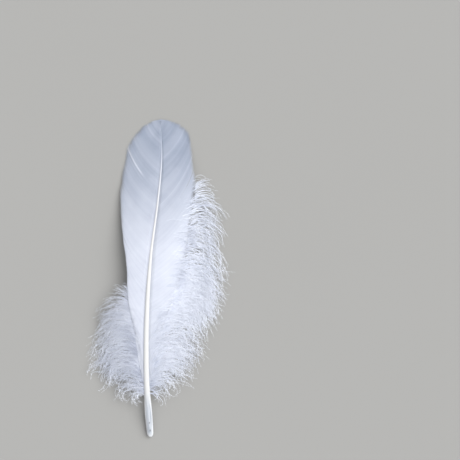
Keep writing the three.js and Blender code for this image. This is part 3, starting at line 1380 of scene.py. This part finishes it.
class NodeSheet:
    """Short calls for laying out a material's nodes."""

    MIX_SHARE = 0
    MIX_LOW = 6
    MIX_HIGH = 7
    MIX_RESULT = 2

    def __init__(self, name: str) -> None:
        """Starts a material with an empty node sheet.

        Args:
            name: The material's name.
        """
        self.material = bpy.data.materials.new(name)
        self.material.use_nodes = True
        self.tree = self.material.node_tree
        self.shader = self.tree.nodes["Principled BSDF"]

    def node(self, kind: str, **values: object) -> bpy.types.Node:
        """Adds a node.

        Args:
            kind: Its type, without the leading "ShaderNode".
            values: Its properties.

        Returns:
            The node.
        """
        made = self.tree.nodes.new(f"ShaderNode{kind}")
        for key, value in values.items():
            setattr(made, key, value)
        return made

    def link(self, source: Socket, target: Socket) -> None:
        """Joins two sockets."""
        self.tree.links.new(source, target)

    def adjust(self, **values: float) -> None:
        """Sets the shader's own sockets, named with _ for each space."""
        for name, value in values.items():
            self.shader.inputs[name.replace("_", " ")].default_value = value

    def number(self, name: str) -> Socket:
        """The value of a mesh attribute."""
        return self.node("Attribute", attribute_name=name).outputs["Fac"]

    def position(self, scale: Triple = (1.0, 1.0, 1.0), turn: Triple = (0.0, 0.0, 0.0)) -> Socket:
        """Places on the object.

        Args:
            scale: How much they are stretched along each axis, after the turn.
            turn: How far they are turned about each axis, in radians.

        Returns:
            The places.
        """
        place = self.node("TexCoord").outputs["Object"]
        for name, values in (("Rotation", turn), ("Scale", scale)):
            mapping = self.node("Mapping")
            mapping.inputs[name].default_value = values
            self.link(place, mapping.inputs["Vector"])
            place = mapping.outputs["Vector"]
        return place

    def northing(self) -> Socket:
        """How far along y each place is, in metres.

        Returns:
            The distance.
        """
        split = self.node("SeparateXYZ")
        self.link(self.position(), split.inputs[0])
        return split.outputs["Y"]

    def distance(self, place: Socket, spot: Triple) -> Socket:
        """How far places are from a spot.

        Args:
            place: The places.
            spot: The spot.

        Returns:
            The distance.
        """
        made = self.node("VectorMath", operation="DISTANCE")
        made.inputs[1].default_value = spot
        self.link(place, made.inputs[0])
        return made.outputs["Value"]

    def noise(self, place: Socket, scale: float, detail: float) -> Socket:
        """Smooth random values.

        Args:
            place: The places.
            scale: How many waves there are in a metre.
            detail: How many finer waves are added.

        Returns:
            The values.
        """
        made = self.node("TexNoise")
        made.inputs["Scale"].default_value = scale
        made.inputs["Detail"].default_value = detail
        self.link(place, made.inputs["Vector"])
        return made.outputs["Fac"]

    def spread(self, source: Socket, span: Span, to: Span = (0.0, 1.0)) -> Socket:
        """Maps a span of a value softly to another, held at its ends.

        Args:
            source: The value.
            span: The span of it that counts.
            to: What the two ends of the span become.

        Returns:
            The new value.
        """
        made = self.node("MapRange", interpolation_type="SMOOTHSTEP")
        for name, value in zip(("From Min", "From Max", "To Min", "To Max"), (*span, *to)):
            made.inputs[name].default_value = value
        self.link(source, made.inputs["Value"])
        return made.outputs["Result"]

    def join(self, operation: Operation, a: Socket, b: Socket) -> Socket:
        """Joins two values into one.

        Args:
            operation: How.
            a: The first value.
            b: The second value.

        Returns:
            The new value.
        """
        made = self.node("Math", operation=operation.value)
        self.link(a, made.inputs[0])
        self.link(b, made.inputs[1])
        return made.outputs["Value"]

    def blend(self, share: Socket, low: Triple, high: Triple) -> Socket:
        """A colour between two colours.

        Args:
            share: The share of the second.
            low: The first colour.
            high: The second colour.

        Returns:
            The colour.
        """
        made = self.node("Mix", data_type="RGBA")
        made.inputs[self.MIX_LOW].default_value = (*low, 1.0)
        made.inputs[self.MIX_HIGH].default_value = (*high, 1.0)
        self.link(share, made.inputs[self.MIX_SHARE])
        return made.outputs[self.MIX_RESULT]

    def tint(self, colour: Socket, share: Socket, to: Triple) -> Socket:
        """A colour moved towards another.

        Args:
            colour: The colour.
            share: How far it is moved.
            to: The other colour.

        Returns:
            The new colour.
        """
        made = self.node("Mix", data_type="RGBA")
        made.inputs[self.MIX_HIGH].default_value = (*to, 1.0)
        self.link(colour, made.inputs[self.MIX_LOW])
        self.link(share, made.inputs[self.MIX_SHARE])
        return made.outputs[self.MIX_RESULT]

    def bump(self, height: Socket, distance: float, strength: float) -> None:
        """Raises the shader's surface.

        Args:
            height: The height pattern.
            distance: The height that it stands for, in millimetres.
            strength: How much of it shows.
        """
        made = self.node("Bump")
        made.inputs["Distance"].default_value = distance * MM
        made.inputs["Strength"].default_value = strength
        self.link(height, made.inputs["Height"])
        self.link(made.outputs["Normal"], self.shader.inputs["Normal"])


@dataclass(frozen=True)
class BarbFinish:
    """Cool white barbs: silky, uneven from barb to barb, and greyer towards the tip by painted shade that
    stands in for the dark showing through the thin tip.

    Attributes:
        tip_shade_span: Where along the frame the painted shade of the tip sets in and is full, in metres.
        tip_shade_by_tone: How much of that painted shade dark and light barbs take.
        end: The colour of barbs' own ends.
        pale_and_highlight_tones: The tones between which a barb turns pale throughout: the palest barbs, and
            those that carry a painted highlight or painted light.
        tones: The range of tones.
        cloud_scale: The clouds' waves in a metre.
        grain_depth: Depth of the fine grain, in millimetres.
        noise_span: The middle range of noise.
        mixed_span: The range of the mixed tone that changes the tip's painted shade.
        roughness: The roughness, from smooth to rough grain.
    """

    slot: Slot
    pale: Triple = (0.705, 0.735, 0.815)
    shaded: Triple = (0.57, 0.6, 0.695)
    # Painted shade: the colour that the thin tip is greyed towards, for the dark that shows through it.
    tip: Triple = (0.325, 0.37, 0.465)
    tip_shade_span: Span = (0.005, 0.082)
    tip_shade_share: float = 0.9
    tip_shade_by_tone: Span = (1.15, 0.9)
    end: Triple = (0.705, 0.735, 0.815)
    end_span: Span = (0.1, 0.6)
    end_share: float = 0.0
    pale_and_highlight_tones: Span = (0.9, 2.4)
    rim_share: float = 0.9
    tones: Span = (-1.6, 1.6)
    tone_share: float = 0.45
    cloud_share: Span = (0.2, 0.55)
    cloud_scale: float = 90.0
    cloud_detail: float = 4.0
    grain_scale: float = 2200.0
    grain_detail: float = 2.0
    grain_stretch: Triple = (1.0, 0.4, 1.0)
    grain_depth: float = 0.04
    grain_strength: float = 0.5
    noise_span: Span = (0.3, 0.7)
    mixed_span: Span = (0.25, 0.9)
    roughness: Span = (0.5, 0.66)
    sheen: float = 0.15
    sheen_roughness: float = 0.4

    def material(self) -> bpy.types.Material:
        """Builds the node material.

        Returns:
            The material.
        """
        sheet = NodeSheet(self.slot.value)
        cloud = sheet.noise(sheet.position(), self.cloud_scale, self.cloud_detail)
        grain = sheet.noise(sheet.position(self.grain_stretch), self.grain_scale, self.grain_detail)
        tone = sheet.spread(sheet.number(TONE), self.tones)
        clouds = sheet.spread(cloud, self.noise_span, self.cloud_share)
        tones = sheet.spread(tone, (0.0, 1.0), (0.0, self.tone_share))
        mixed = sheet.join(Operation.ADD, clouds, tones)
        colour = sheet.blend(mixed, self.shaded, self.pale)
        # Painted shade: barbs turn greyer towards the tip along the frame, for the dark that shows through
        # the thin tip.
        tip = sheet.spread(sheet.northing(), self.tip_shade_span, (0.0, self.tip_shade_share))
        by_tone = sheet.spread(mixed, self.mixed_span, self.tip_shade_by_tone)
        colour = sheet.tint(colour, sheet.join(Operation.MULTIPLY, tip, by_tone), self.tip)
        ends = sheet.spread(sheet.number(DEPTH), self.end_span, (0.0, self.end_share))
        colour = sheet.tint(colour, ends, self.end)
        # The highest tones turn barbs pale throughout: the palest barbs, the painted highlights on split
        # barbs and along the vane's edge, and the painted light on lightened webs of down.
        pale_and_highlight = sheet.spread(sheet.number(TONE), self.pale_and_highlight_tones, (0.0, self.rim_share))
        colour = sheet.tint(colour, pale_and_highlight, self.pale)
        sheet.link(colour, sheet.shader.inputs["Base Color"])
        rough = sheet.spread(grain, self.noise_span, self.roughness)
        sheet.link(rough, sheet.shader.inputs["Roughness"])
        sheet.adjust(Sheen_Weight=self.sheen, Sheen_Roughness=self.sheen_roughness, IOR=KERATIN_IOR)
        sheet.bump(grain, self.grain_depth, self.grain_strength)
        return sheet.material


@dataclass(frozen=True)
class KeratinFinish:
    """The shaft: a milky, streaked quill below and smooth satin white above, greyer towards its tip by
    painted shade. The quill's top and bottom are darkened by painted shade for its see-through middle.

    Attributes:
        see_through_shade: Painted shade on the quill's top and bottom, standing in for its open middle seen
            through the translucent wall. The milky sides beside it read as bright edges.
        see_through_shade_tones: The tones between which that painted shade sets in.
        streak_stretch: How the quill's streaks are drawn out along it.
        streak_span: The range of noise that makes a streak.
        rim: Length of the white rim at the quill's end.
        quill_turn: The stretch over which the quill turns into the shaft.
        specks: (x, y, radius) of each dark speck near the quill's end.
        speck_stretch: Their width, for a length of one.
        speck_ragged: How far noise moves their outline.
        speck_core: The part of the radius that is full.
        upper_shaft_shade_span: Where along the frame the painted shade that greys the shaft towards its tip
            sets in and is full, in metres.
        rough_span: The strengths of streak between which it changes.
    """

    slot: Slot = Slot.SHAFT
    white: Triple = (0.7, 0.7, 0.695)
    milky: Triple = (0.84, 0.86, 0.89)
    # Painted shade for the quill's see-through middle, put on its top and bottom.
    see_through_shade: Triple = (0.49, 0.525, 0.57)
    see_through_shade_tones: Span = (0.45, 0.95)
    see_through_shade_share: float = 0.8
    streak: Triple = (0.29, 0.33, 0.39)
    streak_scale: float = 1900.0
    streak_detail: float = 2.0
    streak_stretch: Triple = (1.0, 0.015, 1.0)
    streak_span: Span = (0.43, 0.67)
    streak_share: float = 0.9
    streak_depth: float = 0.05
    streak_bump: float = 0.35
    rim: float = 3.6
    rim_share: float = 0.85
    quill_turn: Span = (13.5, 31.05)
    pith: Triple = (0.16, 0.17, 0.18)
    specks: Sequence[Triple] = ((0.0, 3.9, 0.75), (-0.3, 8.4, 0.55), (0.45, 1.7, 0.4))
    speck_stretch: float = 0.6
    speck_scale: float = 2600.0
    speck_detail: float = 3.0
    speck_noise: Span = (0.35, 0.65)
    speck_ragged: Span = (0.7, 1.5)
    speck_core: float = 0.15
    speck_share: float = 0.8
    # Painted shade: the greyer colours that the thin upper shaft and its tip are painted towards, matched to
    # the vane's painted tip.
    upper_shaft_shade: Triple = (0.51, 0.545, 0.63)
    upper_shaft_shade_span: Span = (0.02, 0.082)
    tip: Triple = (0.36, 0.405, 0.5)
    tip_shade_span: Span = (0.062, 0.082)
    tip_shade_share: float = 0.9
    roughness: Span = (0.3, 0.45)
    rough_span: Span = (0.0, 0.7)
    coat: float = 0.08
    coat_roughness: float = 0.2

    def speckle(self, sheet: NodeSheet, quill: Socket, origin: Array, line: FeatherLine) -> Socket:
        """Adds the specks to the top of the quill.

        Args:
            sheet: The material's nodes.
            quill: The quill's colour.
            origin: Where the quill end is in the frame, in metres.
            line: The course of the shaft.

        Returns:
            The colour with specks.
        """
        stretched = sheet.position((1.0, self.speck_stretch, 1.0))
        noise = sheet.noise(sheet.position(), self.speck_scale, self.speck_detail)
        ragged = sheet.spread(noise, self.speck_noise, self.speck_ragged)
        for x, y, radius in self.specks:
            top = float(line.height(np.array(y)) + line.depth(np.array(y)) / 2)
            north = (origin[1] + y * MM) * self.speck_stretch
            away = sheet.distance(stretched, (origin[0] + x * MM, north, top * MM))
            away = sheet.join(Operation.MULTIPLY, away, ragged)
            core = (self.speck_core * radius * MM, radius * MM)
            quill = sheet.tint(quill, sheet.spread(away, core, (self.speck_share, 0.0)), self.pith)
        return quill

    def material(self, origin: Array, line: FeatherLine) -> bpy.types.Material:
        """Builds the node material.

        Args:
            origin: Where the quill end is in the frame, in metres.
            line: The course of the shaft.

        Returns:
            The material.
        """
        sheet = NodeSheet(self.slot.value)
        north = sheet.northing()
        quill_end = float(origin[1])
        turn = tuple(quill_end + y * MM for y in self.quill_turn)
        place = sheet.position(self.streak_stretch, line.quill_lie())
        streaks = sheet.noise(place, self.streak_scale, self.streak_detail)
        streaks = sheet.spread(streaks, self.streak_span, (0.0, self.streak_share))
        # Painted shade: the quill's top and bottom, marked by the tone, darken towards the see-through
        # colour, and the milky sides stay bright.
        middle = sheet.spread(sheet.number(TONE), self.see_through_shade_tones, (0.0, self.see_through_shade_share))
        quill = sheet.blend(middle, self.milky, self.see_through_shade)
        quill = sheet.tint(quill, streaks, self.streak)
        rim = sheet.spread(north, (quill_end, quill_end + self.rim * MM), (self.rim_share, 0.0))
        quill = sheet.tint(quill, rim, self.milky)
        quill = self.speckle(sheet, quill, origin, line)
        colour = sheet.tint(quill, sheet.spread(north, turn), self.white)
        # Painted shade: the shaft greys towards its tip, as the vane's tip does.
        colour = sheet.tint(colour, sheet.spread(north, self.upper_shaft_shade_span), self.upper_shaft_shade)
        last = sheet.spread(north, self.tip_shade_span, (0.0, self.tip_shade_share))
        sheet.link(sheet.tint(colour, last, self.tip), sheet.shader.inputs["Base Color"])
        rough = sheet.spread(streaks, self.rough_span, self.roughness)
        sheet.link(rough, sheet.shader.inputs["Roughness"])
        sheet.adjust(IOR=KERATIN_IOR, Coat_Weight=self.coat, Coat_Roughness=self.coat_roughness)
        sheet.bump(streaks, self.streak_depth, self.streak_bump)
        return sheet.material


@dataclass(frozen=True)
class TableFinish:
    """A plain pale table with the faintest clouds."""

    colour: Triple = (0.335, 0.332, 0.322)
    cloud_gain: float = 1.03
    cloud_scale: float = 6.0
    cloud_detail: float = 2.0
    roughness: float = 0.9
    specular: float = 0.2

    def material(self) -> bpy.types.Material:
        """Builds the node material.

        Returns:
            The material.
        """
        sheet = NodeSheet("table")
        cloud = sheet.noise(sheet.position(), self.cloud_scale, self.cloud_detail)
        paler = tuple(value * self.cloud_gain for value in self.colour)
        sheet.link(sheet.blend(cloud, self.colour, paler), sheet.shader.inputs["Base Color"])
        sheet.adjust(Roughness=self.roughness, Specular_IOR_Level=self.specular)
        return sheet.material


# ---------------------------------------------------------------- the studio


@dataclass(frozen=True)
class Light:
    """One wide soft light, far enough off to fall evenly on the table.

    Attributes:
        towards: Where it stands, seen from the feather.
        width: How wide it looks from there, in degrees.
    """

    name: str
    towards: Triple
    width: float
    strength: float


@dataclass(frozen=True)
class Studio:
    """The table, the lights and the camera overhead.

    Attributes:
        view_centre: (x, y) in the middle of the view, from the quill end.
        view_width: The width of the view on the table.
        focus_height: The height at which it is that wide.
    """

    view_centre: Span = (45.1, 117.2)
    view_width: float = 259.3
    focus_height: float = 6.0
    lens: float = 120.0
    sensor: float = 36.0
    nearest: float = 0.01
    table_side: float = 8.0
    surround: Triple = (0.955, 0.965, 0.985)
    surround_strength: float = 0.495
    lights: tuple[Light, ...] = (
        Light("key_light", (0.66, 0.4, 0.95), width=55.0, strength=3.2),
        Light("fill_light", (-0.6, -0.3, 0.9), width=70.0, strength=0.5),
    )

    def build(self, origin: Array) -> None:
        """Sets out the table, lights and camera.

        Args:
            origin: Where the quill end is in the frame, in metres.
        """
        self.lay_table()
        world = bpy.data.worlds.new("surround")
        world.use_nodes = True
        sky = world.node_tree.nodes["Background"]
        sky.inputs["Color"].default_value = (*self.surround, 1.0)
        sky.inputs["Strength"].default_value = self.surround_strength
        bpy.context.scene.world = world
        for light in self.lights:
            self.hang(light)
        self.aim_camera(origin)
        bpy.context.scene.view_settings.view_transform = "Standard"

    def lay_table(self) -> None:
        """Adds the table that the feather lies on."""
        bpy.ops.mesh.primitive_plane_add(size=self.table_side)
        table = bpy.context.active_object
        table.name = "table"
        table.data.materials.append(TableFinish().material())

    def hang(self, light: Light) -> None:
        """Adds one soft light, turned to the feather.

        Args:
            light: The light.
        """
        lamp = bpy.data.lights.new(light.name, "SUN")
        lamp.angle = math.radians(light.width)
        lamp.energy = light.strength
        hung = bpy.data.objects.new(light.name, lamp)
        hung.location = light.towards
        hung.rotation_euler = Vector(light.towards).to_track_quat("Z", "Y").to_euler()
        bpy.context.scene.collection.objects.link(hung)

    def aim_camera(self, origin: Array) -> None:
        """Adds the camera, which looks straight down.

        Args:
            origin: Where the quill end is in the frame, in metres.
        """
        lens = bpy.data.cameras.new("camera")
        lens.lens = self.lens
        lens.sensor_width = self.sensor
        lens.clip_start = self.nearest
        camera = bpy.data.objects.new("camera", lens)
        bpy.context.scene.collection.objects.link(camera)
        x, y = (origin[axis] + self.view_centre[axis] * MM for axis in range(2))
        away = self.view_width * MM * self.lens / self.sensor
        camera.location = (x, y, away + self.focus_height * MM)
        bpy.context.scene.camera = camera


# ---------------------------------------------------------------- putting it together


BELOW_THE_SHEET = dict(rise=(-0.25, 0.4))
FOOT_ENDS = dict(part=(0, 1), count=80, inset=0.4, lift=0.05)
WEBBED = dict(barbules=None, web=0.12, sides=4, unevenness=0.3)
# Painted shade: the foot webs are darkened for the shadow under the down's barbs.
FOOT_WEBBED = dict(droop=1.15, shade=1.1, **WEBBED)


@dataclass
class Part:
    """A piece of the feather: its draft, the CAD solid that it stands in for and its finish."""

    draft: Draft
    node: Node
    slot: Slot

    def build(self, origin: Array, material: bpy.types.Material) -> None:
        """Makes and dresses the piece, hides the CAD solid that it stands in for and attaches it to the
        body.

        Args:
            origin: Where the quill end is in the frame, in metres.
            material: The finish.
        """
        piece = self.draft.build(origin)
        piece.data.materials.append(material)
        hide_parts(self.node.value)
        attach(piece, BODY)
        log.info("%s: %d triangles, for %s", piece.name, len(piece.data.polygons), self.node.value)


@dataclass(frozen=True)
class Feather:
    """The whole feather.

    Attributes:
        line: The course of the shaft.
        left_edge: (x, y) of the narrow vane's edge, from its foot to the tip.
        right_edge: The same of the wide vane.
        left_foot_edge: (x, y) of the edge of the silky foot of the narrow vane.
        right_foot_edge: The same of the wide vane.
        left_splits: Where barbs of the narrow vane have come apart.
        right_splits: The same of the wide vane.
    """

    line: FeatherLine
    left_edge: Pairs = (
        (-8.5, 61.9), (-12.4, 78), (-13.1, 97), (-15.6, 115), (-17.1, 134), (-16.1, 148),
        (-13.3, 164), (-9.4, 171.3), (-4, 176.3), (1.4, 179.2), (6.3, 180),
    )
    right_edge: Pairs = (
        (8.2, 65.6), (13.6, 79), (18.6, 93), (23.6, 119), (25.8, 142), (24.2, 155),
        (23.2, 166), (21.6, 173), (16.7, 177.2), (11, 179.4), (5.7, 180),
    )
    left_foot_edge: Pairs = ((-4.6, 36.5), (-6.4, 44), (-7.7, 52), (-8.6, 62.4))
    right_foot_edge: Pairs = ((1.8, 37), (3.7, 44.5), (6, 54), (8.3, 66))
    # Each split's pale value paints a highlight on its lifted barbs.
    left_splits: Sequence[Split] = (
        Split(0.3, 0.0015, 0.02),
        Split(0.47, 0.0005, 0.012, lift=0.12, pale=0.5),
        Split(0.53, 0.0005, 0.01, lift=0.18, pale=0.7),
        Split(0.588, 0, 0.004, lift=0.25, pale=1.9),
        Split(0.606, 0.001, 0.008, lift=0.45, pale=2.6),
        Split(0.83, 0.004, 0.006, lift=0.1, pale=0.2, start=9.0),
        Split(0.9, 0.003, 0.005, lift=0.08, pale=0.7, start=12.0),
    )
    right_splits: Sequence[Split] = (Split(0.47, 0.002, 0.02), Split(0.66, 0.001, 0.02))

    @cached_property
    def left_vane(self) -> Vane:
        """The narrow vane, loose only at its foot."""
        name, line, edge = "left_vane_barbs", self.line, self.left_edge
        return Vane(name, line, Side.LEFT, edge, loose_until=0.1, seed=11, splits=self.left_splits)

    @cached_property
    def right_vane(self) -> Vane:
        """The wide vane, whose barbs have loose tips to a little below its middle."""
        name, line, edge = "right_vane_barbs", self.line, self.right_edge
        return Vane(name, line, Side.RIGHT, edge, loose_until=0.42, seed=12, splits=self.right_splits)

    def foot(self, name: str, side: Side, edge: Pairs, seed: int) -> Vane:
        """The silky foot of a vane, loose throughout, which passes into the down.

        Args:
            name: The piece's name.
            side: The side that it grows on.
            edge: (x, y) of its edge.
            seed: The seed of its random numbers.

        Returns:
            The foot as a small vane.
        """
        return Vane(
            name, self.line, side, edge, loose_until=2.0, seed=seed, first_root=29.0, last_root=41.2,
            barbs=26, rings=14, bow=0.014, crowding=1.0,
        )

    @cached_property
    def left_foot(self) -> Vane:
        """The foot of the narrow vane."""
        return self.foot("left_foot_barbs", Side.LEFT, self.left_foot_edge, seed=13)

    @cached_property
    def right_foot(self) -> Vane:
        """The foot of the wide vane."""
        return self.foot("right_foot_barbs", Side.RIGHT, self.right_foot_edge, seed=14)

    def left_down(self) -> list[Down]:
        """The loose barbs on the left: downy ones, and webbed ones under them.

        Returns:
            The pieces.
        """
        line, side = self.line, Side.LEFT
        tufts = FootDown(line, side, seed=21, tilt=6, scale=1.08)
        edge = EdgeDown(
            self.left_vane, seed=23, part=(0, 0.15), lengths=((0, 29), (0.5, 20), (1, 4)),
            count=180, inset=0.3, lift=-0.3,
        )
        foot_edge = EdgeDown(
            self.left_foot, seed=41, lengths=((0, 18), (0.4, 26), (1, 27)), **FOOT_ENDS
        )
        webs = EdgeDown(
            self.left_vane, seed=26, part=(0, 0.14), lengths=((0, 20), (0.5, 13), (1, 3)),
            count=90, inset=0.4, lift=-0.8, **BELOW_THE_SHEET,
        )
        foot_webs = FootDown(
            line, side, seed=28, count=150, strays=None, tilt=5, scale=0.87, **BELOW_THE_SHEET,
        )
        return [
            Down("left_down_barbs", line, side, seed=31, sources=[tufts], steps=25, droop=1.15),
            Down("left_edge_barbs", line, side, seed=32, sources=[edge, foot_edge]),
            # The webs under the left vane's edge and down are darkened as painted shade.
            Down("left_webbed_barbs", line, side, seed=36, sources=[webs], shade=0.9, **WEBBED),
            Down("left_foot_webs", line, side, seed=37, sources=[foot_webs], **FOOT_WEBBED),
        ]

    def right_down(self) -> list[Down]:
        """The loose barbs on the right, with the fringe along the wide vane.

        Returns:
            The pieces.
        """
        line, side = self.line, Side.RIGHT
        tufts = FootDown(line, side, seed=22, tilt=-5)
        edge = EdgeDown(
            self.right_vane, seed=24, part=(0, 0.24), lengths=((0, 35), (0.5, 33), (1, 31)),
            count=270, inset=0.24,
        )
        foot_edge = EdgeDown(
            self.right_foot, seed=42, lengths=((0, 18), (0.4, 28), (1, 32)), **FOOT_ENDS
        )
        fringe = EdgeDown(
            self.right_vane, seed=25, part=(0.13, 0.45),
            lengths=((0, 32), (0.3, 31), (0.6, 25), (0.85, 14), (1, 5)),
            count=440, per_lock=3, inset=0.3, thinning=0.65, turn=140,
        )
        webs = EdgeDown(
            self.right_vane, seed=27, part=(0, 0.42),
            lengths=((0, 26), (0.5, 28), (0.75, 25), (0.9, 16), (1, 4)),
            count=400, inset=0.24, lift=-0.2, thinning=0.7, turn=130, **BELOW_THE_SHEET,
        )
        foot_webs = FootDown(
            line, side, seed=29, count=150, strays=None, tilt=-5, scale=0.85, **BELOW_THE_SHEET,
        )
        light = dict(shade=-0.4, unevenness=0.5, gather=0.32)
        lighter = dict(shade=-0.5, unevenness=0.6, gather=0.24)
        return [
            Down("right_down_barbs", line, side, seed=33, sources=[tufts], steps=25, droop=1.15),
            Down("right_edge_barbs", line, side, seed=34, sources=[edge, foot_edge], **light),
            Down("right_fringe_barbs", line, side, seed=35, sources=[fringe], droop=0.75, **lighter),
            # The webs under the wide vane's edge are lightened as painted light against the vane's shadow.
            Down("right_webbed_barbs", line, side, seed=38, sources=[webs], droop=0.8, shade=-1.0, **WEBBED),
            Down("right_foot_webs", line, side, seed=39, sources=[foot_webs], **FOOT_WEBBED),
        ]

    def parts(self) -> list[Part]:
        """Every piece of the feather, in the order in which they are built.

        Returns:
            The pieces.
        """
        return [
            Part(Shaft(self.line).build(), Node.SHAFT, Slot.SHAFT),
            Part(self.left_vane.build(), Node.LEFT_VANE, Slot.VANE),
            Part(self.right_vane.build(), Node.RIGHT_VANE, Slot.VANE),
            Part(self.left_foot.build(), Node.LEFT_DOWN, Slot.VANE),
            Part(self.right_foot.build(), Node.RIGHT_DOWN, Slot.VANE),
            *(Part(down.build(), Node.LEFT_DOWN, Slot.DOWN) for down in self.left_down()),
            *(Part(down.build(), Node.RIGHT_DOWN, Slot.DOWN) for down in self.right_down()),
        ]

    def build(self, origin: Array) -> None:
        """Makes and dresses every piece.

        Args:
            origin: Where the quill end is in the frame, in metres.
        """
        # The down's finish takes the same painted tip shade over a longer stretch. Its dark shaded colour is
        # what the painted shade of the webs under the down reaches.
        down = BarbFinish(
            Slot.DOWN, pale=(0.84, 0.87, 0.95), shaded=(0.38, 0.42, 0.54), tip_shade_span=(0.005, 0.14),
            end=(0.86, 0.89, 0.96), end_share=0.5,
        )
        finishes = {
            Slot.SHAFT: KeratinFinish().material(origin, self.line),
            Slot.VANE: BarbFinish(Slot.VANE).material(),
            Slot.DOWN: down.material(),
        }
        for part in self.parts():
            part.build(origin, finishes[part.slot])


def main() -> None:
    """Builds the studio and the feather."""
    logging.basicConfig(level=logging.INFO, format="%(name)s: %(message)s")
    line = FeatherLine()
    origin = line.origin()
    Studio().build(origin)
    Feather(line).build(origin)


if __name__ == "__main__":
    main()
